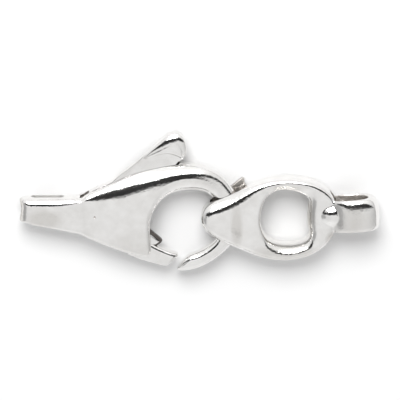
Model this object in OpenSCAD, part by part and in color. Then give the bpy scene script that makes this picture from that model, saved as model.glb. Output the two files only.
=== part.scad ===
// Silver lobster clasp hooked into a cast end link. Lengths are in millimetres.
// The clasp is drawn round the middle of its hook: x towards the link, y towards the thumb pad,
// z up from the face that it lies on.

/* [Clasp body] */
// Outer radius of the hook; the clasp's outline tables are in sixths of it
hook_r = 6; // [5.6:0.1:6.6]
// Thickness of the body at the lever housing
body_t = 3.2; // [3:0.1:3.8]
// Length of the flat tail
tail_len = 7.1; // [6:0.1:9]
// Width of the tail at its free end
tail_w = 2.9; // [2.4:0.1:3.2]
// Thickness of the tail
tail_t = 2.8; // [2.4:0.1:3]
// Length of the eye through the tail
eye_len = 3.6; // [2:0.1:4.2]
// Height of the eye through the tail
eye_h = 1.4; // [0.8:0.1:1.7]
// Thickness of the hook where the link hangs
wire_t = 2; // [1.8:0.05:2.3]

/* [Trigger] */
// Thickness of the lever plate
lever_t = 1.35; // [1.1:0.05:1.5]
// Clearance on each face of the lever plate
lever_gap = 0.08; // [0.05:0.01:0.15]
// Thickness of the thumb pad
pad_t = 2.4; // [2:0.1:2.8]
// Diameter of the pivot pin
pin_d = 1; // [0.8:0.05:1.2]
// Radial clearance between the pin and the trigger
pin_gap = 0.03; // [0.01:0.01:0.08]
// Depth of each pin seat in the body's walls
pin_seat = 0.5; // [0.3:0.05:0.6]

/* [End link] */
// Length of the link; its outline tables are in twentieths of it
link_len = 20; // [18:0.1:22]
// Thickness of the loop's leaves in front of and behind the hook
leaf_t = 0.7; // [0.5:0.05:0.9]
// Clearance between the hook and each leaf
leaf_gap = 0.08; // [0.05:0.01:0.15]
// Play of the loop along the link
link_play = 0.5; // [0.3:0.05:0.8]
// Height of the bail
bail_h = 4.2; // [3.9:0.1:5]
// Width of the bail, along its hole
bail_w = 3.7; // [3:0.1:4.2]
// Length of the bail's oval hole
bail_hole_len = 4.1; // [3:0.1:4.4]
// Height of the bail's oval hole
bail_hole_h = 2.8; // [2:0.1:3]

/* [Hidden] */

// Units of the two sets of tables
u = hook_r / 6;
v = link_len / 20;

// Levels of the pieces
mid_z = body_t / 2;
wire_z = leaf_t + leaf_gap + wire_t / 2;
slot_w = lever_t + 2 * lever_gap;
link_t = 2 * leaf_t + 2 * leaf_gap + wire_t;

// The pin's place and its fit in the walls
pivot = [-10.3 * u, 0.2 * u];
pin_bore_d = pin_d + 2 * pin_gap;
seat_gap = 0.01;
pin_len = slot_w + 2 * pin_seat;

// The tail's free end and root, and its middle line
root_x = -11.56 * u;
tail_x = root_x - tail_len;
tail_y = 0.75 * u;
end_round = 0.4;

// The eye's place in the tail, and how squarely the oblong holes are cornered
eye_x = tail_x + 0.44 * tail_len;
eye_drop = 0.15;
hole_power = 2.6;

// The link starts from the outside of the hook's bend, and its leaf reaches back over the hook
bend_x = 5.87 * u;
loop_x = bend_x + link_play;
loop_len = 3.95 * v;
loop_cut = 12 * v;
leaf_reach = 5.07 * v;
tab_inset = 0.05;

// The bail, its turn in plan in degrees and the wall at the end of its hole
bail_x0 = loop_x + 9 * v;
bail_end_x = loop_x - leaf_reach + link_len;
bail_y = 0.42 * v;
bail_turn = 4;
bail_power = 4.5;
bail_round = 0.75;
bail_fill_round = 0.2;
bail_wall = 1.3 * v;
bail_len = bail_end_x - bail_x0 - (bail_w - 2 * bail_round) * sin(bail_turn);

// Middle of the whole thing, which is the origin
pad_top_y = 9.7 * u;
hook_low_y = -6.13 * u;
middle = [(tail_x + bail_end_x) / 2, (pad_top_y + hook_low_y) / 2];

// Steps between two rows of a table, and in each quarter of a rounding
row_steps = 2;
round_steps = 3;

// Tail, from its free end to its root. Columns: share of tail_len, share of half tail_w above and
// below the middle line, share of tail_t
tail_rows = [
    [0, 0.1, 0.1, 1], [0.005, 0.58, 0.56, 1], [0.025, 0.82, 0.79, 1], [0.06, 0.96, 0.95, 1],
    [0.12, 1, 1.03, 1], [0.42, 1, 1.3, 1], [0.7, 1, 1.58, 1], [0.9, 1.01, 1.76, 1.02]];

// Housing, arch and hook, from the tail's root to the hook's point. Columns in sixths of hook_r:
// outer edge x and y, inner edge x and y, share of the way from body_t to wire_t, width of the
// rounding on the outer and on the inner edge
hook_rows = [
    [-11.6, 2.26, -11.6, -2.2, 0.2, 0.45, 0.5], [-11.35, 2.57, -11.2, -2.35, 0.15, 0.45, 0.55],
    [-10.95, 2.78, -10.5, -2.62, 0.1, 0.7, 0.6], [-10.4, 3, -9.6, -3, 0.05, 1.05, 0.6],
    [-9.7, 3.28, -8.3, -3.55, 0, 1.45, 0.6], [-9.1, 3.55, -7, -3.98, 0, 1.7, 0.55],
    [-8.6, 3.78, -6, -4.22, 0, 1.85, 0.5], [-8.1, 4, -5, -4.38, 0, 2, 0.35],
    [-7.8, 4.15, -4.5, -4.36, 0, 2.1, 0.3], [-7.5, 4.3, -4.2, -4.15, 0, 2.2, 0.3],
    [-7.1, 4.5, -4.05, -3.6, 0, 2.3, 0.4], [-6.5, 4.74, -4.14, -2.6, 0, 2.35, 0.45],
    [-5.75, 5.03, -4.23, -1.2, 0, 2.4, 0.45], [-5.05, 5.28, -4.14, -0.2, 0, 2.4, 0.45],
    [-4.3, 5.53, -3.82, 0.73, 0, 2.35, 0.5], [-3.35, 5.79, -3.1, 1.83, 0, 2.1, 0.6],
    [-2.3, 6, -2.25, 2.5, 0.05, 1.7, 0.9], [-1, 6.13, -0.85, 2.93, 0.08, 1.45, 1.2],
    [0.3, 6.04, 0.3, 3, 0.1, 1.4, 1.25], [1.5, 5.79, 1.2, 2.98, 0.2, 1.3, 1.15],
    [2.5, 5.43, 1.9, 2.8, 0.35, 1.2, 1.1], [3.4, 4.93, 2.5, 2.38, 0.7, 1.15, 1.05],
    [4.25, 4.2, 3, 1.85, 1, 1.1, 1], [4.95, 3.3, 3.4, 1.3, 1, 1, 1],
    [5.5, 2.2, 3.7, 0.7, 1, 0.95, 0.9], [5.8, 1, 3.87, 0.1, 1, 0.95, 0.9],
    [5.87, 0, 3.94, -0.4, 1, 0.95, 0.9], [5.75, -1.3, 3.88, -1, 1, 0.9, 0.9],
    [5.35, -2.45, 3.6, -1.8, 1, 0.9, 0.85], [4.65, -3.4, 3.1, -2.55, 1, 0.85, 0.8],
    [3.55, -4.37, 2.4, -3.17, 1, 0.85, 0.75], [2.44, -5.17, 1.7, -3.62, 1, 0.85, 0.7],
    [1.33, -5.75, 1, -3.97, 1, 0.9, 0.7], [0.3, -6.03, 0.42, -4.18, 1, 0.9, 0.65],
    [-0.5, -6.12, -0.02, -4.36, 1, 0.8, 0.5], [-0.95, -6.12, -0.4, -4.82, 1.1, 0.55, 0.35],
    [-1.2, -6.05, -0.85, -5.35, 1.25, 0.3, 0.2], [-1.3, -5.98, -1.15, -5.75, 1.5, 0.1, 0.1]];

// Space of the lever plate in the housing, in sixths of hook_r
slot_outline = [[-11.7, 0.4], [-11.6, 1.4], [-11, 2.6], [-10.4, 5], [-1, 8], [-0.8, 6.25],
    [-1.15, 5.75], [-2.9, 4.32], [-4.5, 3.1], [-3.9, 1], [-3, -2], [-1, -7], [-7.4, -7],
    [-7.4, -3.35], [-9.3, -2.2], [-11, -1.05], [-11.7, -0.3]];

// Lever plate with its step and the tongue, in sixths of hook_r
lever_outline = [[-8.44, 3.86], [-7.56, 4.77], [-6.44, 5.6], [-5.33, 6.55], [-4.22, 7.63],
    [-3.11, 8.61], [-2.3, 9.3], [-1.3, 9.6], [-0.7, 9.3], [-0.4, 8.6], [-0.25, 7.8], [-0.35, 6.95],
    [-0.6, 6.5], [-1.05, 6.25], [-1.35, 5.85], [-3.05, 4.45], [-4.7, 3.25], [-5.5, 1.8],
    [-5.7, 0], [-5.2, -1], [-4.28, -1.48], [-2.94, -2.63], [-2.86, -2.8], [-3.15, -3.1],
    [-3.2, -3.54], [-2, -4.05], [-1.35, -4.22], [-1.12, -4.38], [-1.15, -4.55], [-2, -5.38],
    [-2.3, -5.58], [-2.7, -5.6], [-4.22, -5.18], [-5.33, -4.85], [-6.6, -4.3], [-6.95, -3.9],
    [-7.3, -3.1], [-9.3, -1.98], [-10.6, -1.1], [-11.4, -0.4], [-11.45, 0.5], [-11, 1.4],
    [-9.9, 2.3]];

// Bulge of the thumb pad. Columns: outer edge x and y, inner edge x and y in sixths of hook_r,
// share of the way from lever_t to pad_t, width of the rounding on the outer and on the inner edge
pad_rows = [
    [-5.25, 6.62, -4.9, 6.42, 0.1, 0.15, 0.1], [-4.3, 7.55, -3.9, 6.9, 0.75, 0.4, 0.2],
    [-3.2, 8.55, -2.9, 7.2, 1, 0.75, 0.3], [-2.3, 9.33, -2.15, 7.32, 1, 0.85, 0.35],
    [-1.3, 9.7, -1.45, 7.3, 1, 0.75, 0.35], [-0.6, 9.2, -0.95, 7.15, 0.9, 0.65, 0.3],
    [-0.22, 8.05, -0.7, 6.95, 0.6, 0.45, 0.25], [-0.3, 7.05, -0.55, 6.85, 0.1, 0.12, 0.1]];

// Ring and leaf of the link, once round from the leaf's tip over the pad's side. Columns in
// twentieths of link_len from the loop's far end: outer edge x and y, inner edge x and y, share of
// link_t, width of the rounding on the outer and on the inner edge
ring_rows = [
    [-5.02, -0.1, 1.65, 0.1, 1, 0.85, 0.7], [-4.75, 0.95, 1.7, 0.5, 1, 0.85, 0.7],
    [-4, 1.75, 1.75, 1, 1, 0.85, 0.7], [-2.6, 2.4, 1.9, 1.6, 1, 0.85, 0.7],
    [-1.2, 2.98, 2.15, 2.1, 1, 0.85, 0.7], [0.3, 3.55, 2.55, 2.6, 0.96, 0.7, 0.7],
    [1.65, 4.05, 3.05, 2.95, 0.92, 0.55, 0.65], [3.1, 4.4, 3.75, 3.18, 0.9, 0.5, 0.6],
    [4.6, 4.5, 4.6, 3.2, 0.9, 0.5, 0.6], [6.1, 4.38, 5.7, 3, 0.9, 0.5, 0.6],
    [7.4, 4.1, 6.6, 2.55, 0.9, 0.55, 0.6], [8.5, 3.6, 7.05, 2, 0.92, 0.6, 0.5],
    [9.5, 2.9, 6.95, 1.2, 0.92, 0.6, 0.5], [10.1, 1.7, 6.85, 0.45, 0.92, 0.6, 0.5],
    [10.2, 0.2, 6.85, -0.25, 0.92, 0.6, 0.5], [10, -1.3, 6.9, -1, 0.92, 0.6, 0.5],
    [9.4, -2.5, 7.1, -1.8, 0.92, 0.65, 0.5], [8.5, -3.5, 6.85, -2.45, 0.9, 0.7, 0.6],
    [7.2, -4.3, 6.1, -2.85, 0.9, 0.7, 0.7], [5.6, -4.75, 5.1, -3.03, 0.9, 0.7, 0.8],
    [4, -4.88, 4.15, -3.03, 0.9, 0.7, 0.8], [2.6, -4.7, 3.3, -2.85, 0.92, 0.7, 0.8],
    [1.2, -4.3, 2.6, -2.5, 0.94, 0.75, 0.8], [-0.2, -3.72, 2.15, -1.95, 0.97, 0.8, 0.75],
    [-1.6, -3.1, 1.85, -1.35, 1, 0.85, 0.7], [-2.9, -2.5, 1.72, -0.85, 1, 0.85, 0.7],
    [-4.1, -1.8, 1.66, -0.5, 1, 0.85, 0.7], [-4.8, -1, 1.65, -0.2, 1, 0.85, 0.7]];

// End of the loop's back leaf that stands out past the front one, in twentieths of link_len
tab_outline = [[-2.4, 1.9], [-1.46, 3.2], [-0.42, 4.02], [-0.16, 3.98], [-0.1, 3.5], [0.3, 2.6]];

// A point between row i and the next on the smooth curve through a table's rows
function row_at(rows, i, t, closed) =
    let (n = len(rows),
        a = rows[closed ? (i + n - 1) % n : max(i - 1, 0)],
        b = rows[i],
        c = rows[closed ? (i + 1) % n : min(i + 1, n - 1)],
        d = rows[closed ? (i + 2) % n : min(i + 2, n - 1)])
    (2 * b + (c - a) * t + (2 * a - 5 * b + 4 * c - d) * t * t
        + (3 * b - a - 3 * c + d) * t * t * t) / 2;

function smooth_rows(rows, closed = false) =
    let (n = len(rows), spans = closed ? n : n - 1)
    concat(
        [for (i = [0:spans - 1], k = [0:row_steps - 1]) row_at(rows, i, k / row_steps, closed)],
        closed ? [] : [rows[n - 1]]);

function unit(p) = p / norm(p);

function middle_of(points) = [for (p = points) 1] * points / len(points);

// Square to an edge at station i, to the left of its course
function left_of(edge, i, closed) =
    let (n = len(edge),
        along = edge[closed ? (i + 1) % n : min(i + 1, n - 1)]
            - edge[closed ? (i + n - 1) % n : max(i - 1, 0)])
    unit([-along.y, along.x]);

// One quarter of a section's rounding, from angle a0 to a1
function quarter(p, out, width, height, level, a0, a1) =
    [for (k = [0:round_steps])
        let (a = a0 + (a1 - a0) * k / round_steps, q = p - out * width * (1 - cos(a)))
        [q.x, q.y, level + height * sin(a)]];

// A section from outer edge o to inner edge i. Both edges are rounded, front and back
function section(o, o_out, i, i_out, t, z, o_round, i_round) =
    let (h = t / 2, o_up = min(o_round, 0.9 * h), i_up = min(i_round, 0.9 * h),
        m = ((o - o_out * o_round) + (i - i_out * i_round)) / 2)
    concat(
        quarter(o, o_out, o_round, o_up, z - h + o_up, -90, 0),
        quarter(o, o_out, o_round, o_up, z + h - o_up, 0, 90),
        [[m.x, m.y, z + h]],
        quarter(i, i_out, i_round, i_up, z + h - i_up, 90, 0),
        quarter(i, i_out, i_round, i_up, z - h + i_up, 0, -90),
        [[m.x, m.y, z - h]]);

// A solid through sections. Each row holds outer x and y, inner x and y, thickness, level of the
// middle, outer and inner rounding, all in millimetres. The outer edge is on the left of its course
module band(rows, closed = false) {
    outer = [for (r = rows) [r[0], r[1]]];
    inner = [for (r = rows) [r[2], r[3]]];
    sections = [for (i = [0:len(rows) - 1]) let (r = rows[i])
        section(outer[i], left_of(outer, i, closed), inner[i], -left_of(inner, i, closed),
            r[4], r[5], r[6], r[7])];
    n = len(sections);
    m = len(sections[0]);
    spans = closed ? n : n - 1;
    walls = [for (j = [0:spans - 1], k = [0:m - 1])
        let (a = j * m + k, b = j * m + (k + 1) % m, c = (j + 1) % n * m + (k + 1) % m,
            d = (j + 1) % n * m + k)
        each [[a, d, c], [a, c, b]]];
    end = (n - 1) * m;
    cap_middles = closed ? [] : [middle_of(sections[0]), middle_of(sections[n - 1])];
    caps = closed ? [] : [for (k = [0:m - 1]) let (next = (k + 1) % m)
        each [[k, next, n * m], [end + next, end + k, n * m + 1]]];
    polyhedron(concat([for (s = sections) each s], cap_middles), concat(walls, caps));
}

// Rows of the whole body in millimetres
function tail_mm(r) =
    let (x = tail_x + r[0] * tail_len)
    [x, tail_y + r[1] * tail_w / 2, x, tail_y - r[2] * tail_w / 2, r[3] * tail_t, mid_z,
        end_round, end_round];

function hook_mm(r) =
    [r[0] * u, r[1] * u, r[2] * u, r[3] * u, body_t + (wire_t - body_t) * r[4],
        mid_z + (wire_z - mid_z) * min(r[4], 1), r[5] * u, r[6] * u];

function pad_mm(r) =
    [r[0] * u, r[1] * u, r[2] * u, r[3] * u, lever_t + (pad_t - lever_t) * r[4], mid_z,
        r[5] * u, r[6] * u];

function ring_mm(r) =
    [loop_x + r[0] * v, r[1] * v, loop_x + r[2] * v, r[3] * v, r[4] * link_t, link_t / 2,
        r[5] * v, r[6] * v];

// A rounded oblong a long and b wide, clockwise; a higher power gives squarer corners
function oblong(a, b, power, count = 40) =
    [for (k = [0:count - 1]) let (w = -360 * k / count, c = cos(w), s = sin(w))
        [a / 2 * sign(c) * pow(abs(c), 2 / power), b / 2 * sign(s) * pow(abs(s), 2 / power)]];

// A hole along y, centred at x and z
module hole_along_y(x, y, z, a, b, depth) {
    translate([x, y + depth / 2, z]) rotate([90, 0, 0])
        linear_extrude(depth) polygon(oblong(a, b, hole_power));
}

// Places the drawing so that the middle of the whole thing is the origin
module placed() {
    translate([-middle.x, -middle.y, 0]) children();
}

module lever_slot() {
    translate([0, 0, mid_z - slot_w / 2]) linear_extrude(slot_w) polygon(slot_outline * u);
}

module pin_seats() {
    translate([pivot.x, pivot.y, mid_z - pin_len / 2 - seat_gap])
        cylinder(d = pin_d + 2 * seat_gap, h = pin_len + 2 * seat_gap, $fn = 48);
}

module hook_body() {
    color("silver") placed() difference() {
        band(smooth_rows([for (r = tail_rows) tail_mm(r), for (r = hook_rows) hook_mm(r)]));
        lever_slot();
        pin_seats();
        hole_along_y(eye_x, tail_y, mid_z - eye_drop, eye_len, eye_h, 3 * tail_w);
    }
}

module trigger() {
    color("gainsboro") placed() difference() {
        union() {
            translate([0, 0, mid_z - lever_t / 2]) linear_extrude(lever_t) polygon(lever_outline * u);
            band(smooth_rows([for (r = pad_rows) pad_mm(r)]));
        }
        translate([pivot.x, pivot.y, 0]) cylinder(d = pin_bore_d, h = body_t, $fn = 48);
    }
}

module pivot_pin() {
    color("darkgray") placed() translate([pivot.x, pivot.y, mid_z - pin_len / 2])
        cylinder(d = pin_d, h = pin_len, $fn = 48);
}

// Places what is drawn round the middle of the bail, which is turned a little in plan
module bail_placed() {
    translate([(bail_x0 + bail_end_x) / 2, bail_y, bail_h / 2]) rotate(bail_turn) children();
}

module bail() {
    bail_placed() rotate([90, 0, 0]) band([for (p = oblong(bail_len, bail_h, bail_power))
        [p.x, p.y, 0.5 * p.x, 0.5 * p.y, bail_w, 0, bail_round, bail_fill_round]], true);
}

module end_link() {
    color("lightgray") placed() difference() {
        union() {
            band(smooth_rows([for (r = ring_rows) ring_mm(r)], true), true);
            bail();
            translate([loop_x, 0, tab_inset]) linear_extrude(leaf_t - 2 * tab_inset)
                polygon(tab_outline * v);
        }
        hole_along_y(loop_x - loop_len / 2, 0, wire_z, loop_len, wire_t + 2 * leaf_gap, loop_cut);
        bail_placed() hole_along_y(bail_len / 2 - bail_wall - bail_hole_len / 2, 0, 0,
            bail_hole_len, bail_hole_h, 2 * bail_w);
    }
}

hook_body();
trigger();
pivot_pin();
end_link();
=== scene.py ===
import math

import bmesh
import bpy
from mathutils import Matrix, Vector


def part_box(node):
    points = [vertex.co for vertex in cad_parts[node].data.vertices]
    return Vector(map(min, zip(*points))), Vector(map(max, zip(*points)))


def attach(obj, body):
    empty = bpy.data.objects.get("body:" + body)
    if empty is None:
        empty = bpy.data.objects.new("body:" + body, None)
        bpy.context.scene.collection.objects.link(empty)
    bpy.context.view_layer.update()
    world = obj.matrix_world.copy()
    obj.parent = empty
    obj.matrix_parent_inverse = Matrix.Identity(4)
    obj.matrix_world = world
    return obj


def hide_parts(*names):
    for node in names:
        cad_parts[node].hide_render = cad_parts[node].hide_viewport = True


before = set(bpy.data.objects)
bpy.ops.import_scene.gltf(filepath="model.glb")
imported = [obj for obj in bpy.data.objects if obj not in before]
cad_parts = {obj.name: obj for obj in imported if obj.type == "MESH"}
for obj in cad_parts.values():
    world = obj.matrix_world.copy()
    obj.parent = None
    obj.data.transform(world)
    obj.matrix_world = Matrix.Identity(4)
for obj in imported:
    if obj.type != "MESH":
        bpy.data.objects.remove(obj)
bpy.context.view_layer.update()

# Pieces are modelled in millimetres and made metres when they are finished.
# The drawing starts at the middle of the hook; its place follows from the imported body.
drawing = {
    "millimetre": 0.001,
    "bendX": 5.87,       # outside of the hook's bend, from the middle of the hook
    "lowY": -6.13,       # lowest point of the hook
    "middleZ": 1.6,      # half of the housing's thickness
    "wireZ": 1.78,       # level of the hook's wire, inside the link
    "same": 0.001,       # places closer than this are one place
    "crisp": 38,         # edges sharper than this angle stay crisp
}
mm = drawing["millimetre"]
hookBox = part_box("hook_body")
startX = hookBox[1].x / mm - drawing["bendX"]
startY = hookBox[0].y / mm - drawing["lowY"]


def deselectAll():
    if bpy.context.mode != "OBJECT":
        bpy.ops.object.mode_set(mode="OBJECT")
    bpy.ops.object.select_all(action="DESELECT")


def pickOnly(piece):
    deselectAll()
    piece.select_set(True)
    bpy.context.view_layer.objects.active = piece


def placeVertices(vertices, points):
    for vertex, point in zip(vertices, points):
        vertex.select_set(True)
        bpy.ops.transform.translate(value=Vector(point) - vertex.co)
        vertex.select_set(False)


def pickVertices(mesh, vertices):
    bpy.ops.mesh.select_all(action="DESELECT")
    for vertex in vertices:
        vertex.select_set(True)
    mesh.select_flush(True)


def addModifier(piece, kind, **settings):
    pickOnly(piece)
    modifier = piece.modifiers.new(kind.lower(), kind)
    for setting, value in settings.items():
        setattr(modifier, setting, value)
    bpy.ops.object.modifier_apply(modifier=modifier.name)


def subdivide(piece, levels):
    addModifier(piece, "SUBSURF", levels=levels, render_levels=levels)


# Joins another body on or cuts it away; the faces that it leaves keep its silver
def combine(piece, other, operation, silver=None):
    if silver is not None:
        other.data.materials.append(silver)
    addModifier(piece, "BOOLEAN", object=other, operation=operation, solver="MANIFOLD",
                material_mode="TRANSFER")
    bpy.data.objects.remove(other)


# Extrudes a ring of points from section to section and drags its points into place
def sweepSections(name, sections, closed=False):
    deselectAll()
    bpy.ops.mesh.primitive_circle_add(vertices=len(sections[0]), radius=1, fill_type="NOTHING")
    piece = bpy.context.object
    piece.name = name
    bpy.ops.object.mode_set(mode="EDIT")
    bpy.ops.mesh.select_all(action="DESELECT")
    mesh = bmesh.from_edit_mesh(piece.data)
    ring = list(mesh.verts)
    firstRing = ring
    placeVertices(ring, sections[0])
    for section in sections[1:]:
        pickVertices(mesh, ring)
        bpy.ops.mesh.extrude_edges_move(TRANSFORM_OT_translate={"value": (0, 0, 0)})
        ring = [next(edge.other_vert(v) for edge in v.link_edges if edge.other_vert(v).select)
                for v in ring]
        bpy.ops.mesh.select_all(action="DESELECT")
        placeVertices(ring, section)
    if closed:
        pickVertices(mesh, firstRing + ring)
        bpy.ops.mesh.bridge_edge_loops()
    else:
        for end in (firstRing, ring):
            pickVertices(mesh, end)
            bpy.ops.mesh.edge_face_add()
    bpy.ops.mesh.select_all(action="SELECT")
    bpy.ops.mesh.normals_make_consistent(inside=False)
    bpy.ops.object.mode_set(mode="OBJECT")
    return piece


# What all bands share
bandForm = {
    "leastBend": 0.01,   # how far a long bend's radius is at least over its corner's
    "leastReach": 0.1,   # sine of the angle that a long bend turns through, at least and at most
    "mostReach": 0.92,
    "backOuter": 0.7,    # widest rounding of the back, outside and inside
    "backInner": 0.6,
    "backDeep": 0.9,     # deepest rounding behind and in front, as a share of half the thickness
    "frontDeep": 0.85,
    "innerSteep": 1.2,   # height of the inner front rounding, as a share of its width
    "faceShares": (0.25, 0.55, 0.85),    # the face's points, from the outer to the inner rounding
}


# Front rounding of an outer edge, from its wall to its face: a small corner, then a long bend
# that is level with the face at the given width. Gives pairs of distance in and distance down
def longRounding(wide, bend, corner, most):
    reach = (wide - corner) / max(bend - corner, bandForm["leastBend"])
    reach = min(max(reach, bandForm["leastReach"]), bandForm["mostReach"])
    turn = math.asin(reach)
    bend = (wide - corner * (1 - reach)) / reach
    pairs = []
    for tilt in (math.pi / 2, (math.pi / 2 + turn) / 2):
        pairs.append((corner * (1 - math.sin(tilt)),
                      bend * (1 - math.cos(turn)) + corner * (math.cos(turn) - math.cos(tilt))))
    for tilt in (turn, turn * 2 / 3, turn / 3, 0):
        pairs.append((wide - bend * math.sin(tilt), bend * (1 - math.cos(tilt))))
    squeeze = min(1, most / pairs[0][1])
    return [(way, down * squeeze) for way, down in pairs]


# A plain quarter rounding as the same pairs, from the wall to the face
def quarterRounding(wide, high, angles=(0, 30, 60, 90)):
    return [(wide * (1 - math.cos(math.radians(a))), high * (1 - math.sin(math.radians(a))))
            for a in angles]


# The sections of a band between two edges. A station holds outer x, y, inner x, y, thickness,
# level of the middle, width and bend of the outer rounding, width of the inner rounding, and the
# face's height near the outer edge, in its middle and at the inner rounding
def bandSections(stations, corner, closed=False):
    count = len(stations)
    sections = []
    for i, station in enumerate(stations):
        outX, outY, inX, inY, thick, level, wide, bend, inWide, crown, dip, rim = station
        before = stations[(i - 1) % count if closed else max(i - 1, 0)]
        after = stations[(i + 1) % count if closed else min(i + 1, count - 1)]
        outer = Vector((outX + startX, outY + startY))
        inner = Vector((inX + startX, inY + startY))
        outWay = Vector((before[1] - after[1], after[0] - before[0])).normalized()
        inWay = Vector((after[3] - before[3], before[2] - after[2])).normalized()
        half = thick / 2
        top, low = level + half, level - half
        back = min(wide, bandForm["backOuter"], bandForm["backDeep"] * half)
        backIn = min(inWide, bandForm["backInner"], bandForm["backDeep"] * half)
        frontDeep = bandForm["frontDeep"] * half
        faceStart, faceEnd = outer - outWay * wide, inner - inWay * inWide
        points = []

        def along(edge, way, pairs, start, sign):
            for inward, down in pairs:
                foot = edge - way * inward
                points.append((foot.x, foot.y, start - sign * down))

        backPairs = quarterRounding(back, back, (0, 45, 90))
        along(outer, outWay, reversed(backPairs), low, -1)
        along(outer, outWay, longRounding(wide, bend, corner, frontDeep), top, 1)
        for share, height in zip(bandForm["faceShares"], (crown, dip, (dip + rim) / 2)):
            spot = faceStart.lerp(faceEnd, share)
            points.append((spot.x, spot.y, top + height))
        innerHigh = min(inWide * bandForm["innerSteep"], frontDeep)
        along(inner, inWay, reversed(quarterRounding(inWide, innerHigh)), top + rim, 1)
        along(inner, inWay, quarterRounding(backIn, backIn, (0, 45, 90)), low, -1)
        spot = (outer - outWay * back).lerp(inner - inWay * backIn, 0.5)
        points.append((spot.x, spot.y, low))
        sections.append(points)
    return sections


# A flat plate: its outline is extruded and its two rims are rounded, more softly along the
# upper edge between the soft corners
def cutPlate(name, outline, low, high, rimRound=0, softCorners=(), softRim=0):
    deselectAll()
    bpy.ops.mesh.primitive_circle_add(vertices=len(outline), radius=1, fill_type="NGON")
    piece = bpy.context.object
    piece.name = name
    bpy.ops.object.mode_set(mode="EDIT")
    bpy.ops.mesh.select_all(action="DESELECT")
    mesh = bmesh.from_edit_mesh(piece.data)
    corners = list(mesh.verts)
    placeVertices(corners, [(x + startX, y + startY, low) for x, y in outline])
    bpy.ops.mesh.select_all(action="SELECT")
    bpy.ops.mesh.extrude_region_move(TRANSFORM_OT_translate={"value": (0, 0, high - low)})
    bpy.ops.mesh.select_all(action="SELECT")
    bpy.ops.mesh.normals_make_consistent(inside=False)
    bpy.ops.object.mode_set(mode="OBJECT")
    if rimRound:
        most = max(rimRound, softRim)
        weights = piece.data.attributes.new("bevel_weight_edge", "FLOAT", "EDGE")
        soft = [Vector((outline[i][0] + startX, outline[i][1] + startY, high))
                for i in softCorners]
        for edge, weight in zip(piece.data.edges, weights.data):
            ends = [piece.data.vertices[v].co for v in edge.vertices]
            if abs(ends[0].z - ends[1].z) < drawing["same"]:
                isSoft = all(any((end - spot).length < drawing["same"] for spot in soft)
                             for end in ends)
                weight.value = (softRim if isSoft else rimRound) / most
        addModifier(piece, "BEVEL", width=most, segments=5, limit_method="WEIGHT",
                    use_clamp_overlap=False)
    return piece


# A tool that cuts an oblong hole along Y, centred on x, y, z
def holeTool(x, y, z, length, height, depth, corner):
    deselectAll()
    bpy.ops.mesh.primitive_cube_add(size=1, location=(0, 0, 0))
    tool = bpy.context.object
    bpy.ops.object.mode_set(mode="EDIT")
    bpy.ops.transform.resize(value=(length, depth, height), center_override=(0, 0, 0))
    bpy.ops.mesh.select_all(action="DESELECT")
    mesh = bmesh.from_edit_mesh(tool.data)
    for edge in mesh.edges:
        along = edge.verts[0].co - edge.verts[1].co
        edge.select_set(abs(along.y) > depth / 2)
    bpy.ops.mesh.bevel(offset=corner, segments=10, affect="EDGES", clamp_overlap=True)
    bpy.ops.object.mode_set(mode="OBJECT")
    tool.location = (x + startX, y + startY, z)
    bpy.ops.object.transform_apply(location=True, rotation=True, scale=True)
    return tool


# A tool that cuts a round hole along Z
def roundTool(x, y, low, high, radius):
    deselectAll()
    bpy.ops.mesh.primitive_cylinder_add(
        vertices=48, radius=radius, depth=high - low,
        location=(x + startX, y + startY, (low + high) / 2))
    bpy.ops.object.transform_apply(location=True, rotation=True, scale=True)
    return bpy.context.object


# Marks darker, rougher spots, from 0, polished, to 1, fully marked: soft spots of a centre and
# radii. Some are places left raw from the mould, others are painted dark reflections
def markRawAndPaintedDark(piece, spots):
    mark = piece.data.attributes.new("rawCastAndPaintedDark", "FLOAT", "POINT")
    values = []
    for vertex in piece.data.vertices:
        rawAndPaintedDark = 0
        for x, y, z, wide, deep, high, most in spots:
            way = Vector(((vertex.co.x - startX - x) / wide, (vertex.co.y - startY - y) / deep,
                          (vertex.co.z - z) / high))
            rawAndPaintedDark = max(rawAndPaintedDark, most * min(max(2 * (1 - way.length), 0), 1))
        values.append(rawAndPaintedDark)
    mark.data.foreach_set("value", values)


# Makes a finished piece metres, smooths its shading, gives it its body and hides the imported
# part of its node
def finishPiece(piece, body, node):
    pickOnly(piece)
    bpy.ops.transform.resize(value=(mm, mm, mm), center_override=(0, 0, 0))
    bpy.ops.object.transform_apply(location=True, rotation=True, scale=True)
    bpy.ops.object.shade_smooth_by_angle(angle=math.radians(drawing["crisp"]))
    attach(piece, body)
    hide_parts(node)
    print(piece.name, "faces:", len(piece.data.polygons))


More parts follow.
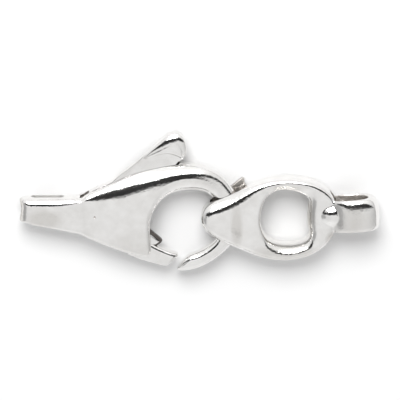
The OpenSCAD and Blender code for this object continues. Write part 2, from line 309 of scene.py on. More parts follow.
# Cast skin, used by every silver: ripples left by polishing, grain, and blotches
def buildCastSkin():
    group = bpy.data.node_groups.new("castSkin", "ShaderNodeTree")
    for name, value in (("Ripple Size", 0.6), ("Grain Size", 5.0), ("Grain Share", 0.3),
                        ("Blotch Size", 0.5)):
        socket = group.interface.new_socket(name, in_out="INPUT", socket_type="NodeSocketFloat")
        socket.default_value = value
    for name in ("Height", "Grain", "Blotch"):
        group.interface.new_socket(name, in_out="OUTPUT", socket_type="NodeSocketFloat")
    nodes, links = group.nodes, group.links
    given = nodes.new("NodeGroupInput")
    result = nodes.new("NodeGroupOutput")
    place = nodes.new("ShaderNodeTexCoord")
    inMillimetres = nodes.new("ShaderNodeVectorMath")
    inMillimetres.operation = "SCALE"
    inMillimetres.inputs["Scale"].default_value = 1 / mm
    links.new(place.outputs["Object"], inMillimetres.inputs[0])

    def noiseOf(size, detail):
        noise = nodes.new("ShaderNodeTexNoise")
        noise.inputs["Detail"].default_value = detail
        links.new(inMillimetres.outputs[0], noise.inputs["Vector"])
        links.new(given.outputs[size], noise.inputs["Scale"])
        return noise.outputs["Fac"]

    ripple = noiseOf("Ripple Size", 1.0)
    grain = noiseOf("Grain Size", 2.0)
    blotch = noiseOf("Blotch Size", 4.0)
    height = nodes.new("ShaderNodeMix")
    links.new(given.outputs["Grain Share"], height.inputs["Factor"])
    links.new(ripple, height.inputs["A"])
    links.new(grain, height.inputs["B"])
    links.new(height.outputs["Result"], result.inputs["Height"])
    links.new(grain, result.inputs["Grain"])
    links.new(blotch, result.inputs["Blotch"])
    return group


castSkin = buildCastSkin()


# A silver: its skin, painted shade that darkens its corners and the gaps between parts, and
# darker spots, some left raw from the mould and some painted dark reflections
def silverMaterial(name, look):
    material = bpy.data.materials.new(name)
    material.use_nodes = True
    nodes, links = material.node_tree.nodes, material.node_tree.links
    shader = nodes["Principled BSDF"]
    shader.inputs["Metallic"].default_value = 1.0

    def mixOf(kind, factor, first, second):
        mix = nodes.new("ShaderNodeMix")
        mix.data_type = kind
        number = "_Color" if kind == "RGBA" else "_Float"
        for socket, value in (("Factor_Float", factor), ("A" + number, first),
                              ("B" + number, second)):
            target = next(s for s in mix.inputs if s.identifier == socket)
            if isinstance(value, bpy.types.NodeSocket):
                links.new(value, target)
            else:
                target.default_value = value
        return next(s for s in mix.outputs if s.identifier == "Result" + number)

    skin = nodes.new("ShaderNodeGroup")
    skin.node_tree = castSkin
    for setting, value in look["skin"].items():
        skin.inputs[setting].default_value = value
    # painted shade: where ambient occlusion finds corners and gaps, the colour darkens towards a
    # dark brown and the surface gets rougher
    corner = nodes.new("ShaderNodeAmbientOcclusion")
    corner.inputs["Distance"].default_value = look["shadeReach"] * mm
    corner.samples = 8
    paintedShade = nodes.new("ShaderNodeMapRange")
    paintedShade.inputs["From Min"].default_value = look["shadeFrom"]
    paintedShade.inputs["From Max"].default_value = look["shadeTo"]
    links.new(corner.outputs["AO"], paintedShade.inputs["Value"])
    # darker spots, some left raw from the mould and some painted dark reflections, darken and
    # roughen the skin and pit it
    rawAndPaintedDark = nodes.new("ShaderNodeAttribute")
    rawAndPaintedDark.attribute_name = "rawCastAndPaintedDark"
    blotched = mixOf("RGBA", skin.outputs["Blotch"], look["lightColour"], look["dullColour"])
    rawAndDarkenedSkin = mixOf("RGBA", rawAndPaintedDark.outputs["Fac"], blotched, look["rawAndPaintedDarkColour"])
    shadedColour = mixOf("RGBA", paintedShade.outputs["Result"], rawAndDarkenedSkin, look["paintedShadeColour"])
    links.new(shadedColour, shader.inputs["Base Color"])
    grainRough = mixOf("FLOAT", skin.outputs["Grain"], look["roughLow"], look["roughHigh"])
    rawRough = mixOf("FLOAT", rawAndPaintedDark.outputs["Fac"], grainRough, look["rawRough"])
    cornerRoughness = mixOf("FLOAT", paintedShade.outputs["Result"], rawRough, look["cornerRough"])
    links.new(cornerRoughness, shader.inputs["Roughness"])
    bump = nodes.new("ShaderNodeBump")
    bump.inputs["Distance"].default_value = look["depth"] * mm
    links.new(skin.outputs["Height"], bump.inputs["Height"])
    pits = nodes.new("ShaderNodeBump")
    pits.inputs["Distance"].default_value = look["rawDepth"] * mm
    pitted = nodes.new("ShaderNodeMath")
    pitted.operation = "MULTIPLY"
    links.new(skin.outputs["Grain"], pitted.inputs[0])
    links.new(rawAndPaintedDark.outputs["Fac"], pitted.inputs[1])
    links.new(pitted.outputs[0], pits.inputs["Height"])
    links.new(bump.outputs["Normal"], pits.inputs["Normal"])
    links.new(pits.outputs["Normal"], shader.inputs["Normal"])
    return material


# Each silver sets how far the painted shade in its corners and gaps reaches, the occlusion at
# which it starts and is full, and its colour
polishedSilver = silverMaterial("polishedSilver", {
    "skin": {"Ripple Size": 0.8, "Grain Size": 5.0, "Grain Share": 0.55, "Blotch Size": 0.8},
    "depth": 0.02, "lightColour": (0.95, 0.945, 0.935, 1), "dullColour": (0.76, 0.745, 0.725, 1),
    "roughLow": 0.05, "roughHigh": 0.14,
    "rawAndPaintedDarkColour": (0.58, 0.555, 0.52, 1), "rawRough": 0.28, "rawDepth": 0.035,
    "shadeReach": 0.5, "shadeFrom": 0.4, "shadeTo": 0.05, "paintedShadeColour": (0.3, 0.27, 0.24, 1),
    "cornerRough": 0.4})
castSilver = silverMaterial("castSilver", {
    "skin": {"Ripple Size": 1.2, "Grain Size": 5.0, "Grain Share": 0.6, "Blotch Size": 1.1},
    "depth": 0.06, "lightColour": (0.66, 0.63, 0.6, 1), "dullColour": (0.42, 0.39, 0.36, 1),
    "roughLow": 0.25, "roughHigh": 0.45,
    "rawAndPaintedDarkColour": (0.3, 0.27, 0.25, 1), "rawRough": 0.5, "rawDepth": 0.05,
    "shadeReach": 0.7, "shadeFrom": 0.6, "shadeTo": 0.1, "paintedShadeColour": (0.1, 0.085, 0.07, 1),
    "cornerRough": 0.6})
brightSilver = silverMaterial("brightSilver", {
    "skin": {"Ripple Size": 0.8, "Grain Size": 5.0, "Grain Share": 0.5, "Blotch Size": 0.8},
    "depth": 0.02, "lightColour": (1, 0.995, 0.985, 1), "dullColour": (0.94, 0.93, 0.91, 1),
    "roughLow": 0.3, "roughHigh": 0.45,
    "rawAndPaintedDarkColour": (0.9, 0.88, 0.85, 1), "rawRough": 0.4, "rawDepth": 0.02,
    "shadeReach": 0.1, "shadeFrom": 0.1, "shadeTo": 0.0, "paintedShadeColour": (0.6, 0.58, 0.55, 1),
    "cornerRough": 0.4})
darkSilver = silverMaterial("darkSilver", {
    "skin": {"Ripple Size": 1.2, "Grain Size": 5.0, "Grain Share": 0.6, "Blotch Size": 1.1},
    "depth": 0.05, "lightColour": (0.17, 0.155, 0.145, 1), "dullColour": (0.1, 0.09, 0.08, 1),
    "roughLow": 0.3, "roughHigh": 0.5,
    "rawAndPaintedDarkColour": (0.1, 0.09, 0.08, 1), "rawRough": 0.5, "rawDepth": 0.05,
    "shadeReach": 0.7, "shadeFrom": 0.6, "shadeTo": 0.1, "paintedShadeColour": (0.06, 0.05, 0.04, 1),
    "cornerRough": 0.6})
pinSilver = silverMaterial("pinSilver", {
    "skin": {"Ripple Size": 1.5, "Grain Size": 9.0, "Grain Share": 0.4, "Blotch Size": 0.8},
    "depth": 0.02, "lightColour": (0.84, 0.83, 0.8, 1), "dullColour": (0.7, 0.68, 0.64, 1),
    "roughLow": 0.14, "roughHigh": 0.24,
    "rawAndPaintedDarkColour": (0.6, 0.58, 0.55, 1), "rawRough": 0.4, "rawDepth": 0.03,
    "shadeReach": 0.4, "shadeFrom": 0.5, "shadeTo": 0.1, "paintedShadeColour": (0.2, 0.18, 0.16, 1),
    "cornerRough": 0.5})
print("silvers ready")

# The clasp's body: tail, lever housing, arch and hook in one casting
claspBody = {
    # outer x, y, inner x, y, width and bend of the outer rounding, inner rounding
    "tail": [
        (-17.5, 2.2, -17.5, -0.78, 0.85, 0.85, 0.35),
        (-16.4, 2.2, -16.4, -1, 0.85, 0.85, 0.35),
        (-15, 2.2, -15, -1.27, 0.9, 0.95, 0.35),
        (-13.8, 2.2, -13.8, -1.51, 0.85, 0.95, 0.38),
        (-12.8, 2.2, -12.8, -1.72, 0.7, 0.85, 0.4),
        (-12.2, 2.2, -12.2, -1.83, 0.5, 0.6, 0.42),
        (-11.85, 2.2, -11.85, -1.93, 0.35, 0.4, 0.45)],
    "tailThick": 2.8,
    "growthStart": -13.8,
    "tailGrowth": 0.06,  # how much thicker the tail gets in each millimetre from there
    # the free end: its sections stand at these angles of its rounding, and it gets thinner by
    # thinning times the distance in; soft and inner are its outer and inner roundings
    "tailEnd": {"x": -18.66, "highY": 2.2, "lowY": -0.62, "round": 0.95, "corner": 0.3,
                "angles": (0, 8, 30, 60, 90), "thinning": 1.6, "soft": 0.4, "inner": 0.33},
    # outer x, y, inner x, y, share of the way from the housing to the wire, width and bend of
    # the outer rounding, inner rounding. The widths and bends at outer x -10.98 and from -5.05
    # to 2.5 are rounded output of a separate program, which worked from the line and thickness
    # of the photograph's dark band. Those at 3.4 and 4.25 are near its output, and the other
    # rows before -5.05 started from it and were changed by hand
    "housing": [
        (-11.6, 2.3, -11.55, -2.08, 0.2, 0.4, 0.6, 0.5),
        (-11.38, 2.52, -11.2, -2.33, 0.15, 0.75, 1.4, 0.55),
        (-10.98, 2.77, -10.6, -2.6, 0.1, 1.1, 2.1, 0.6),
        (-10.4, 3, -9.6, -3, 0.05, 1.45, 3.4, 0.6),
        (-9.7, 3.28, -8.3, -3.55, 0, 1.72, 4.2, 0.6),
        (-9.1, 3.55, -7, -3.98, 0, 1.94, 4.6, 0.55),
        (-8.6, 3.78, -6, -4.22, 0, 2.14, 5, 0.5),
        (-8.1, 4, -5, -4.38, 0, 2.3, 5.1, 0.35),
        (-7.8, 4.15, -4.5, -4.36, 0, 2.4, 5.1, 0.3),
        (-7.5, 4.3, -4.2, -4.15, 0, 2.5, 5.1, 0.3),
        (-7.1, 4.5, -4.05, -3.6, 0, 2.55, 5.1, 0.4),
        (-6.5, 4.74, -4.14, -2.6, 0, 2.55, 4.8, 0.45),
        (-5.75, 5.03, -4.23, -1.2, 0, 2.5, 4.4, 0.45),
        (-5.05, 5.28, -4.14, -0.2, 0, 2.45, 3.8, 0.45),
        (-4.3, 5.53, -3.82, 0.73, 0, 2.3, 3.2, 0.5),
        (-3.35, 5.79, -3.1, 1.83, 0, 2.1, 2.6, 0.6),
        (-2.3, 6, -2.25, 2.5, 0.05, 1.8, 2, 0.9),
        (-1, 6.13, -0.85, 2.93, 0.08, 1.55, 1.6, 1.2),
        (0.3, 6.04, 0.3, 3, 0.1, 1.35, 1.5, 1.25),
        (1.5, 5.79, 1.2, 2.98, 0.2, 1.15, 1.5, 1.15),
        (2.5, 5.43, 1.9, 2.8, 0.35, 1.05, 1.4, 1.1),
        (3.4, 4.93, 2.5, 2.38, 0.7, 0.95, 1.2, 1.05),
        (4.25, 4.2, 3, 1.85, 1, 0.8, 0.9, 1),
        (4.95, 3.3, 3.4, 1.3, 1, 0.8, 0.8, 0.9),
        (5.5, 2.2, 3.7, 0.7, 1, 0.8, 0.8, 0.8),
        (5.8, 1, 3.87, 0.1, 1, 0.8, 0.8, 0.7),
        (5.87, 0, 3.94, -0.4, 1, 0.8, 0.8, 0.6),
        (5.75, -1.3, 3.88, -1, 1, 0.8, 0.8, 0.5),
        (5.35, -2.45, 3.6, -1.8, 1, 0.8, 0.8, 0.42),
        (4.65, -3.4, 3.1, -2.55, 1, 0.75, 0.75, 0.55),
        (3.55, -4.37, 2.4, -3.17, 1, 0.6, 0.6, 0.62),
        (2.44, -5.17, 1.7, -3.62, 1, 0.6, 0.6, 0.62),
        (1.33, -5.75, 1, -3.97, 1, 0.6, 0.6, 0.62),
        (0.3, -6.03, 0.42, -4.18, 1, 0.6, 0.6, 0.6),
        (-0.5, -6.12, -0.02, -4.36, 1, 0.6, 0.6, 0.5),
        (-0.95, -6.12, -0.4, -4.82, 1.1, 0.5, 0.5, 0.3),
        (-1.2, -6.05, -0.85, -5.35, 1.25, 0.28, 0.28, 0.2),
        (-1.3, -5.98, -1.15, -5.75, 1.5, 0.1, 0.1, 0.1)],
    "housingThick": 3.2,
    "wireThick": 2,
    "corner": 0.45,      # corner radius where a long rounding meets its wall
    "crown": 0.03,       # how far the broad faces bulge
    "slot": [(-11.7, 0.4), (-11.75, 1.4), (-11.95, 2), (-11.95, 2.6), (-10.4, 5), (-1, 8),
             (-0.8, 6.25), (-1.15, 5.75), (-2.9, 4.32), (-4.5, 3.1), (-3.9, 1), (-3, -2),
             (-1, -7), (-7.4, -7), (-7.4, -3.35), (-9.3, -2.2), (-11, -1.05), (-11.7, -0.3)],
    "slotHalf": 0.755,
    "eye": {"x": -15.54, "y": 0.75, "z": 1.45, "length": 3.6, "height": 1.4, "depth": 9,
            "corner": 0.6},
    "pin": {"x": -10.3, "y": 0.2, "radius": 0.51, "low": 0.335, "high": 2.865},
    "speck": {"radius": 0.16, "depth": 0.07},
    # x, y, z, the three radii and how strongly it is darkened and roughened. The second spot, on
    # the tail's rounded end, is a painted dark reflection
    "rawAndPaintedDarkSpots": [(-15.8, -0.1, 3, 2.4, 1.3, 1, 0.45), (-18.7, 0.7, 2.2, 0.8, 2, 1.6, 0.8),
                 (-5.6, -3.2, 3.2, 3.2, 2.4, 1.5, 0.2), (2.6, 4.2, 2.8, 2.6, 1.6, 1, 0.2)],
}


def buildClaspBody():
    middle, crown = drawing["middleZ"], claspBody["crown"]
    stations = []
    end, tailThick = claspBody["tailEnd"], claspBody["tailThick"]
    for angle in end["angles"]:
        a = math.radians(angle)
        x = end["x"] + end["round"] * (1 - math.cos(a))
        inset = end["round"] * (1 - math.sin(a))
        side = end["corner"] * (1 - math.sin(a))
        soft = end["soft"] + end["soft"] * math.sin(a)
        stations.append((x, end["highY"] - side, x, end["lowY"] + side,
                         tailThick - end["thinning"] * inset, middle, soft, soft, end["inner"],
                         0, 0, 0))
    for outX, outY, inX, inY, wide, bend, inWide in claspBody["tail"]:
        growth = claspBody["tailGrowth"] * max(outX - claspBody["growthStart"], 0)
        stations.append((outX, outY, inX, inY, tailThick + growth, middle, wide, bend, inWide,
                         0, 0, 0))
    thick, wire = claspBody["housingThick"], claspBody["wireThick"]
    rise = drawing["wireZ"] - middle
    for outX, outY, inX, inY, share, wide, bend, inWide in claspBody["housing"]:
        broad = crown * (1 - min(share, 1))
        stations.append((outX, outY, inX, inY, thick + (wire - thick) * share,
                         middle + rise * min(share, 1), wide, bend, inWide, broad, broad, 0))
    piece = sweepSections("claspBody", bandSections(stations, claspBody["corner"]))
    subdivide(piece, 2)
    piece.data.materials.append(polishedSilver)
    half = claspBody["slotHalf"]
    slot = cutPlate("slotTool", claspBody["slot"], middle - half, middle + half)
    combine(piece, slot, "DIFFERENCE", castSilver)
    combine(piece, holeTool(**claspBody["eye"]), "DIFFERENCE", brightSilver)
    combine(piece, roundTool(**claspBody["pin"]), "DIFFERENCE", castSilver)
    pin, speck = claspBody["pin"], claspBody["speck"]
    deselectAll()
    bpy.ops.mesh.primitive_uv_sphere_add(
        segments=24, ring_count=12, radius=speck["radius"],
        location=(pin["x"] + startX, pin["y"] + startY, thick + speck["radius"] - speck["depth"]))
    combine(piece, bpy.context.object, "DIFFERENCE", castSilver)
    markRawAndPaintedDark(piece, claspBody["rawAndPaintedDarkSpots"])
    finishPiece(piece, "clasp", "hook_body")


buildClaspBody()

# The trigger: a flat lever with its tongue, a step behind the tongue, and the thumb pad
trigger = {
    "plate": [(-10.95, 2.72), (-10.4, 3.1), (-9.7, 3.4), (-9.1, 3.66), (-8.44, 3.96),
              (-7.56, 4.77), (-6.44, 5.6), (-5.33, 6.55), (-4.22, 7.63), (-3.11, 8.61),
              (-2.3, 9.3), (-1.3, 9.6), (-0.7, 9.3), (-0.4, 8.6), (-0.25, 7.8), (-0.35, 6.95),
              (-0.6, 6.5), (-1.05, 6.25), (-1.35, 5.85), (-3.05, 4.45), (-4.7, 3.25),
              (-5.5, 1.8), (-5.7, 0), (-5.45, -1.5), (-4.9, -2.55), (-4.11, -3.07),
              (-3.11, -3.58), (-2, -4.05), (-1.35, -4.22), (-1.12, -4.38), (-1.15, -4.55),
              (-2, -5.38), (-2.3, -5.58), (-2.7, -5.6), (-4.22, -5.18), (-5.33, -4.85),
              (-6.6, -4.3), (-6.95, -3.9), (-7.3, -3.1), (-9.3, -1.98), (-10.6, -1.1),
              (-11.4, -0.4), (-11.45, 0.5), (-11.3, 1.4)],
    "plateLow": 0.925, "plateHigh": 2.275,
    "rim": 0.1,
    "softCorners": (23, 24, 25, 26, 27, 28, 29, 30),     # the tongue's upper edge
    "softRim": 0.4,
    "step": [(-5.9, 0), (-5.2, -1), (-4.28, -1.48), (-2.94, -2.63), (-2.84, -2.82),
             (-2.95, -3.05), (-3.5, -3.45), (-4.2, -3.5), (-5.9, -3)],
    "stepLow": 0.94, "stepHigh": 2.05, "stepRim": 0.4,
    "level": 0.98,       # upward share of a step face's normal, from which it is polished
    # outer x, y, inner x, y, thickness, width and bend of the outer rounding, inner rounding.
    # The widths and bends from outer x -3.2 to -1.3, and the width at -0.5, are rounded output of
    # the same separate program as the housing's
    "pad": [
        (-5.25, 6.62, -4.9, 6.42, 1.46, 0.15, 0.15, 0.06),
        (-4.3, 7.55, -3.9, 6.95, 2.1, 0.45, 0.7, 0.12),
        (-3.2, 8.55, -2.9, 7.22, 2.36, 0.85, 1.6, 0.15),
        (-2.3, 9.33, -2.15, 7.28, 2.4, 1.1, 2.1, 0.25),
        (-1.3, 9.72, -1.45, 7.0, 2.4, 1.25, 2.3, 0.4),
        (-0.5, 9.3, -0.95, 6.75, 2.35, 1, 1.8, 0.4),
        (-0.08, 8.1, -0.7, 6.65, 2.25, 0.7, 1.1, 0.3),
        (-0.15, 7.1, -0.5, 6.55, 1.9, 0.35, 0.4, 0.2),
        (-0.3, 6.85, -0.5, 6.65, 1.4, 0.1, 0.12, 0.08)],
    "corner": 0.3,
    "crown": 0.02,       # how far the pad's face bulges
    "bore": 0.53,
}


def buildTrigger():
    piece = cutPlate("thumbLever", trigger["plate"], trigger["plateLow"], trigger["plateHigh"],
                     trigger["rim"], trigger["softCorners"], trigger["softRim"])
    piece.data.materials.append(polishedSilver)
    step = cutPlate("stepPiece", trigger["step"], trigger["stepLow"], trigger["stepHigh"],
                    trigger["stepRim"])
    step.data.materials.append(polishedSilver)
    step.data.materials.append(darkSilver)
    for polygon in step.data.polygons:
        polygon.material_index = int(abs(polygon.normal.z) < trigger["level"])
    combine(piece, step, "UNION")
    crown = trigger["crown"]
    stations = [(outX, outY, inX, inY, thick, drawing["middleZ"], wide, bend, inWide, crown,
                 crown, 0) for outX, outY, inX, inY, thick, wide, bend, inWide in trigger["pad"]]
    pad = sweepSections("padPiece", bandSections(stations, trigger["corner"]))
    subdivide(pad, 3)
    combine(piece, pad, "UNION", polishedSilver)
    pin = claspBody["pin"]
    bore = roundTool(pin["x"], pin["y"], 0, claspBody["housingThick"], trigger["bore"])
    combine(piece, bore, "DIFFERENCE", castSilver)
    finishPiece(piece, "trigger", "trigger")


buildTrigger()

# The end link: leaf and loop round the hook, large ring, and the bail
endLink = {
    "startX": 6.37,      # outer end of the loop's hole, from the middle of the hook
    "thick": 3.56,
    # outer x, y, inner x, y, share of the thickness, width and bend of the outer rounding,
    # inner rounding, and the face's height near the edge, in the middle and at the hole. In the
    # upper rows the widths and bends from outer x -4.75 to 0.3, and the widths at 1.65 and 3.1,
    # are rounded output of the same separate program as the housing's
    "ring": [
        (-5.02, -0.1, 1.65, 0.1, 1, 0.9, 0.9, 0.4, 0, -0.12, -0.05),
        (-4.75, 0.95, 1.7, 0.5, 1, 1.2, 1.9, 0.4, 0, -0.12, -0.05),
        (-4, 1.75, 1.75, 1, 1, 1.5, 2, 0.4, 0, -0.12, -0.05),
        (-2.6, 2.4, 1.9, 1.6, 1, 1.65, 2, 0.4, 0, -0.12, -0.08),
        (-1.2, 2.98, 2.15, 2.1, 1, 1.5, 1.9, 0.4, 0, -0.12, -0.1),
        (0.3, 3.55, 2.55, 2.6, 0.96, 1, 1.4, 0.4, 0, -0.05, -0.15),
        (1.65, 4.05, 3.05, 2.95, 0.94, 0.7, 0.9, 0.35, 0, -0.1, -0.25),
        (3.1, 4.4, 3.75, 3.18, 0.93, 0.55, 0.7, 0.3, 0, -0.15, -0.35),
        (4.6, 4.5, 4.6, 3.2, 0.93, 0.45, 0.5, 0.3, 0, -0.15, -0.38),
        (6.1, 4.38, 5.7, 3, 0.93, 0.45, 0.5, 0.35, 0, -0.15, -0.35),
        (7.4, 4.1, 6.6, 2.55, 0.93, 0.45, 0.5, 0.6, 0, -0.1, -0.25),
        (8.5, 3.6, 7.05, 2, 0.93, 0.45, 0.5, 0.85, 0, 0, -0.1),
        (9.5, 2.9, 6.95, 1.2, 0.93, 0.55, 0.6, 0.95, 0, 0, 0),
        (10.1, 1.7, 6.85, 0.45, 0.93, 0.7, 0.7, 1, 0, 0, 0),
        (10.2, 0.2, 6.85, -0.25, 0.92, 0.7, 0.7, 1, 0, 0, 0),
        (10, -1.3, 6.9, -1, 0.92, 0.7, 0.7, 1, 0, 0, 0),
        (9.4, -2.5, 7.1, -1.8, 0.9, 0.7, 0.7, 0.95, 0, 0, 0),
        (8.5, -3.5, 6.85, -2.45, 0.88, 0.6, 0.6, 1, 0, 0, 0),
        (7.2, -4.3, 6.1, -2.85, 0.88, 0.6, 0.6, 1.02, 0, 0, 0),
        (5.6, -4.75, 5.1, -3.03, 0.88, 0.65, 0.65, 1.05, 0, 0, 0),
        (4, -4.88, 4.15, -3.03, 0.88, 0.65, 0.65, 1.05, 0, 0, 0),
        (2.6, -4.7, 3.3, -2.85, 0.9, 0.7, 0.7, 1, 0, 0, 0),
        (1.2, -4.3, 2.6, -2.5, 0.93, 0.75, 0.75, 0.85, 0, -0.03, 0),
        (-0.2, -3.72, 2.15, -1.95, 0.97, 0.85, 0.85, 0.5, 0, -0.08, -0.02),
        (-1.6, -3.1, 1.85, -1.35, 1, 0.85, 0.85, 0.4, 0, -0.12, -0.05),
        (-2.9, -2.5, 1.72, -0.85, 1, 0.85, 0.85, 0.4, 0, -0.12, -0.05),
        (-4.1, -1.8, 1.66, -0.5, 1, 0.85, 0.85, 0.4, 0, -0.12, -0.05),
        (-4.8, -1, 1.65, -0.2, 1, 0.85, 0.85, 0.4, 0, -0.12, -0.05)],
    "corner": 0.35,
    "tab": [(-2.4, 1.9), (-1.46, 3.2), (-0.42, 4.02), (-0.16, 3.98), (-0.1, 3.5), (0.3, 2.6)],
    "tabLow": 0.05, "tabHigh": 0.65, "tabRim": 0.08,
    "loopHole": {"length": 3.95, "height": 2.16, "depth": 12, "corner": 0.85},
    "neck": {"x": 9.7, "y": 0.35, "z": 2, "long": 2.3, "wide": 1.75, "high": 1.8},
    "finest": 0.075,     # grid that melts ring, neck and bail into one casting
    "smoothing": {"factor": 0.5, "iterations": 16},
    # x from startX, y, z, the three radii and how strongly it is darkened and roughened
    "rawAndPaintedDarkSpots": [
        (7.2, 0, 1.6, 1.1, 3, 2.2, 1),
        (12, -0.4, 2.1, 2.6, 3, 3.6, 0.55),
        (9.6, -2.2, 2.6, 1.2, 1.1, 1.2, 0.8),
        # painted dark reflections: the dip between leaf and ring, the dark bands along the ring's
        # upper and lower faces, and the strip at the leaf's tip
        (-1, -0.8, 3.4, 0.8, 3, 1, 0.4),
        (4.6, 3.6, 3, 3.5, 0.6, 0.9, 0.4),
        (4.4, -4, 3.2, 4.6, 1.3, 1.6, 0.4),
        (-4.9, 0, 1.4, 0.75, 2.4, 1.6, 0.55)],
}
bail = {
    "x": 11.965, "y": 0.42, "turn": 4,
    "long": 5.76, "high": 4.2, "wide": 3.7, "square": 3, "softSquare": 2,
    "holeX": -0.46, "holeLong": 4.1, "holeHigh": 2.8, "holeSquare": 2.6,
    "rawHole": 1.12,     # the hole and its brim, as a share of the hole's oval, are left as cast
    "clearHole": 0.98,   # share of the hole's oval that is cut clear of the neck
    "points": 28,
    "holePoints": 48,
    # across the wall from the hole's edge on +Y to the one on -Y: share of half the width, share
    # of the wall's thickness from the outside, and how far it may go in millimetres
    "across": [(0.93, 1.0, 9), (1, 0.85, 9), (1, 0.7, 0.72), (0.94, 0.5, 0.46),
               (0.8, 0.3, 0.27), (0.6, 0.15, 0.13), (0.3, 0.04, 0.03), (-0.3, 0, 0),
               (-0.72, 0.05, 0.06), (-0.9, 0.2, 0.2), (-0.98, 0.42, 0.4), (-1, 0.7, 0.7),
               (-1, 0.85, 9), (-0.93, 1.0, 9)],
}


# A point of a rounded oblong; a higher square makes squarer corners
def ovalPoint(long, high, square, angle):
    c, s = math.cos(angle), math.sin(angle)
    return Vector((math.copysign(abs(c) ** (2 / square), c) * long / 2,
                   math.copysign(abs(s) ** (2 / square), s) * high / 2))


# Turns and moves what is drawn round the middle of the bail to its place
def bailPlace():
    middle = Matrix.Translation((endLink["startX"] + bail["x"] + startX, bail["y"] + startY,
                                 bail["high"] / 2))
    return middle @ Matrix.Rotation(math.radians(bail["turn"]), 4, "Z")


def buildBail():
    place = bailPlace()
    sections = []
    for k in range(bail["points"]):
        angle = 2 * math.pi * (k + 0.5) / bail["points"]
        square = bail["square"] if math.cos(angle) > 0 else bail["softSquare"]
        outer = ovalPoint(bail["long"], bail["high"], square, angle)
        inner = ovalPoint(bail["holeLong"], bail["holeHigh"], bail["holeSquare"], angle)
        inner.x += bail["holeX"]
        wall = (outer - inner).length
        points = []
        for side, share, most in bail["across"]:
            spot = outer.lerp(inner, min(share, most / wall))
            points.append(place @ Vector((spot.x, side * bail["wide"] / 2, spot.y)))
        sections.append(points)
    piece = sweepSections("bailPiece", sections, closed=True)
    subdivide(piece, 2)
    return piece


def buildEndLink():
    start, thick = endLink["startX"], endLink["thick"]
    stations = [(start + row[0], row[1], start + row[2], row[3], row[4] * thick, thick / 2,
                 *row[5:]) for row in endLink["ring"]]
    piece = sweepSections("endLink", bandSections(stations, endLink["corner"], closed=True),
                          closed=True)
    subdivide(piece, 2)
    bailPiece = buildBail()
    neck = endLink["neck"]
    deselectAll()
    bpy.ops.mesh.primitive_uv_sphere_add(segments=32, ring_count=16, radius=1)
    blob = bpy.context.object
    blob.scale = (neck["long"], neck["wide"], neck["high"])
    blob.location = (start + neck["x"] + startX, neck["y"] + startY, neck["z"])
    bpy.ops.object.transform_apply(location=True, rotation=True, scale=True)
    deselectAll()
    for part in (bailPiece, blob, piece):
        part.select_set(True)
    bpy.context.view_layer.objects.active = piece
    bpy.ops.object.join()
    addModifier(piece, "REMESH", mode="VOXEL", voxel_size=endLink["finest"])
    addModifier(piece, "SMOOTH", **endLink["smoothing"])
    piece.data.materials.append(polishedSilver)
    piece.data.materials.append(castSilver)
    place, count = bailPlace(), bail["holePoints"]
    rim = [ovalPoint(bail["holeLong"], bail["holeHigh"], bail["holeSquare"],
                     2 * math.pi * (k + 0.5) / count) * bail["clearHole"] for k in range(count)]
    rims = [[place @ Vector((spot.x + bail["holeX"], side, spot.y)) for spot in rim]
            for side in (-bail["wide"], bail["wide"])]
    combine(piece, sweepSections("bailHoleTool", rims), "DIFFERENCE", castSilver)
    intoBail = place.inverted()
    for polygon in piece.data.polygons:
        spot = intoBail @ polygon.center
        far = (abs((spot.x - bail["holeX"]) * 2 / bail["holeLong"]) ** bail["holeSquare"]
               + abs(spot.z * 2 / bail["holeHigh"]) ** bail["holeSquare"])
        polygon.material_index = int(far < bail["rawHole"] and abs(spot.y) < bail["wide"] / 2)
    tab = cutPlate("tabPiece", [(start + x, y) for x, y in endLink["tab"]], endLink["tabLow"],
                   endLink["tabHigh"], endLink["tabRim"])
    combine(piece, tab, "UNION", castSilver)
    hole = endLink["loopHole"]
    tool = holeTool(start - hole["length"] / 2, 0, drawing["wireZ"], **hole)
    combine(piece, tool, "DIFFERENCE", castSilver)
    markRawAndPaintedDark(piece, [(start + x, *rest) for x, *rest in endLink["rawAndPaintedDarkSpots"]])
    finishPiece(piece, "clasp", "end_link")


buildEndLink()

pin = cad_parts["pivot_pin"]
pin.data.materials.clear()
pin.data.materials.append(pinSilver)

# The surface that the clasp lies on
paper = {"size": 1.2, "level": -0.01, "colour": (0.9, 0.9, 0.9, 1), "rough": 0.9, "shine": 0.1,
         "grain": 900, "grainStrength": 0.1, "grainDepth": 0.02}


def layPaper():
    deselectAll()
    bpy.ops.mesh.primitive_plane_add(size=paper["size"], location=(0, 0, paper["level"] * mm))
    sheet = bpy.context.object
    sheet.name = "paper"
    material = bpy.data.materials.new("whitePaper")
    material.use_nodes = True
    nodes, links = material.node_tree.nodes, material.node_tree.links
    shader = nodes["Principled BSDF"]
    shader.inputs["Roughness"].default_value = paper["rough"]
    shader.inputs["Specular IOR Level"].default_value = paper["shine"]
    shader.inputs["Base Color"].default_value = paper["colour"]
    grain = nodes.new("ShaderNodeTexNoise")
    grain.inputs["Scale"].default_value = paper["grain"]
    place = nodes.new("ShaderNodeTexCoord")
    bump = nodes.new("ShaderNodeBump")
    bump.inputs["Strength"].default_value = paper["grainStrength"]
    bump.inputs["Distance"].default_value = paper["grainDepth"] * mm
    links.new(place.outputs["Object"], grain.inputs["Vector"])
    links.new(grain.outputs["Fac"], bump.inputs["Height"])
    links.new(bump.outputs["Normal"], shader.inputs["Normal"])
    sheet.data.materials.append(material)


layPaper()

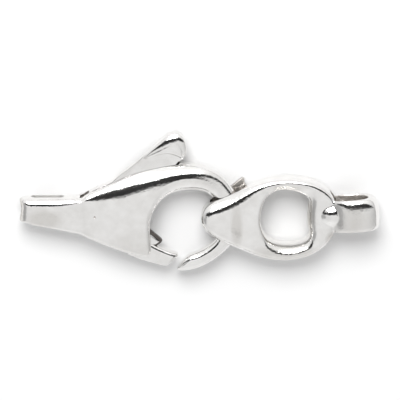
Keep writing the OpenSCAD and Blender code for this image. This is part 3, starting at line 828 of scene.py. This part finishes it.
# A white tent round the clasp: brighter behind the thumb pad, dimmer in front, with a wide
# dark opening that the photograph is taken through and a grey stand beside the tail
tent = {
    # the two dimmer places: angle from straight up, towards +Y, half height in degrees, middle
    # and half width along X as a share of the sky, softness of the edge and tone
    "opening": {"angle": 14, "high": 13.5, "x": 0.05, "wide": 0.9, "soft": 0.1, "tone": 0.03},
    "stand": {"angle": -18, "high": 24, "x": -0.76, "wide": 0.2, "soft": 0.5, "tone": 0.62},
    # angle from straight up, towards +Y, and tone
    "tones": [(-180, 0.9), (-95, 0.9), (-60, 0.9), (-35, 0.78), (-14, 0.8), (10, 0.86),
              (28, 0.98), (42, 1.05), (105, 1.05), (180, 0.95)],
    "rimLow": 0.02,      # heights from which the dim rim at the horizon fades and has faded
    "rim": 0.1,
    "rimTone": 0.3,
    "sideLoss": 0.35,    # how much dimmer the tent is towards +X and -X
    "strength": 1.08,
}


def hangTent():
    world = bpy.data.worlds.new("tent")
    bpy.context.scene.world = world
    world.use_nodes = True
    nodes, links = world.node_tree.nodes, world.node_tree.links
    place = nodes.new("ShaderNodeTexCoord")
    apart = nodes.new("ShaderNodeSeparateXYZ")
    links.new(place.outputs["Generated"], apart.inputs[0])

    def calculate(operation, first, second=None):
        node = nodes.new("ShaderNodeMath")
        node.operation = operation
        for socket, value in zip(node.inputs, (first, second)):
            if isinstance(value, (int, float)):
                socket.default_value = value
            elif value is not None:
                links.new(value, socket)
        return node.outputs[0]

    def rangeOf(value, low, high, start, end):
        node = nodes.new("ShaderNodeMapRange")
        node.interpolation_type = "SMOOTHSTEP"
        for socket, number in (("From Min", low), ("From Max", high), ("To Min", start),
                               ("To Max", end)):
            node.inputs[socket].default_value = number
        links.new(value, node.inputs["Value"])
        return node.outputs["Result"]

    angle = calculate("ARCTAN2", apart.outputs["Y"], apart.outputs["Z"])
    share = calculate("ADD", calculate("DIVIDE", angle, 2 * math.pi), 0.5)
    ramp = nodes.new("ShaderNodeValToRGB")
    brightest = max(tone for _, tone in tent["tones"])
    points = ramp.color_ramp.elements
    while len(points) < len(tent["tones"]):
        points.new(0.5)
    for point, (degrees, tone) in zip(points, tent["tones"]):
        point.position = degrees / 360 + 0.5
        level = tone / brightest
        point.color = (level, level, level, 1)
    links.new(share, ramp.inputs["Fac"])
    side = calculate("MULTIPLY", apart.outputs["X"], apart.outputs["X"])
    loss = calculate("SUBTRACT", 1, calculate("MULTIPLY", side, tent["sideLoss"]))

    def darkOval(oval):
        up = calculate("DIVIDE", calculate("SUBTRACT", angle, math.radians(oval["angle"])),
                       math.radians(oval["high"]))
        across = calculate("DIVIDE", calculate("SUBTRACT", apart.outputs["X"], oval["x"]),
                           oval["wide"])
        far = calculate("ADD", calculate("MULTIPLY", up, up),
                        calculate("MULTIPLY", across, across))
        return rangeOf(far, 1 - oval["soft"], 1 + oval["soft"], oval["tone"], 1)

    cover = calculate("MULTIPLY", darkOval(tent["opening"]), darkOval(tent["stand"]))
    rim = rangeOf(apart.outputs["Z"], tent["rimLow"], tent["rim"], tent["rimTone"], 1)
    tone = calculate("MULTIPLY", calculate("MULTIPLY", ramp.outputs["Color"], loss),
                     calculate("MULTIPLY", cover, rim))
    links.new(tone, nodes["Background"].inputs["Color"])
    nodes["Background"].inputs["Strength"].default_value = brightest * tent["strength"]


hangTent()

lamp = {"place": (-0.05, 0.35, 0.42), "size": 0.3, "power": 2}


def placeLamp():
    data = bpy.data.lights.new("softLamp", "AREA")
    data.size = lamp["size"]
    data.energy = lamp["power"]
    light = bpy.data.objects.new("softLamp", data)
    bpy.context.scene.collection.objects.link(light)
    light.location = lamp["place"]
    light.rotation_euler = (-light.location).to_track_quat("-Z", "Y").to_euler()


placeLamp()

# The photograph's view: nearly from above, with +Y up in the picture
photo = {
    "tilt": 14,
    "distance": 0.45,
    "frameWidth": 44.44,
    "aim": (0.013, -0.405, 0),
    "sensor": 36,
    "nearest": 0.01,
}


def placeCamera():
    data = bpy.data.cameras.new("camera")
    camera = bpy.data.objects.new("camera", data)
    bpy.context.scene.collection.objects.link(camera)
    tilt = math.radians(photo["tilt"])
    back = Vector((0, math.sin(tilt), math.cos(tilt)))
    camera.location = Vector(photo["aim"]) * mm + back * photo["distance"]
    camera.rotation_euler = (-tilt, 0, 0)
    data.sensor_width = photo["sensor"]
    data.lens = photo["sensor"] * photo["distance"] / (photo["frameWidth"] * mm)
    data.clip_start = photo["nearest"]
    bpy.context.scene.camera = camera


placeCamera()
bpy.context.scene.view_settings.view_transform = "Standard"
print("tent, lamp and camera ready")
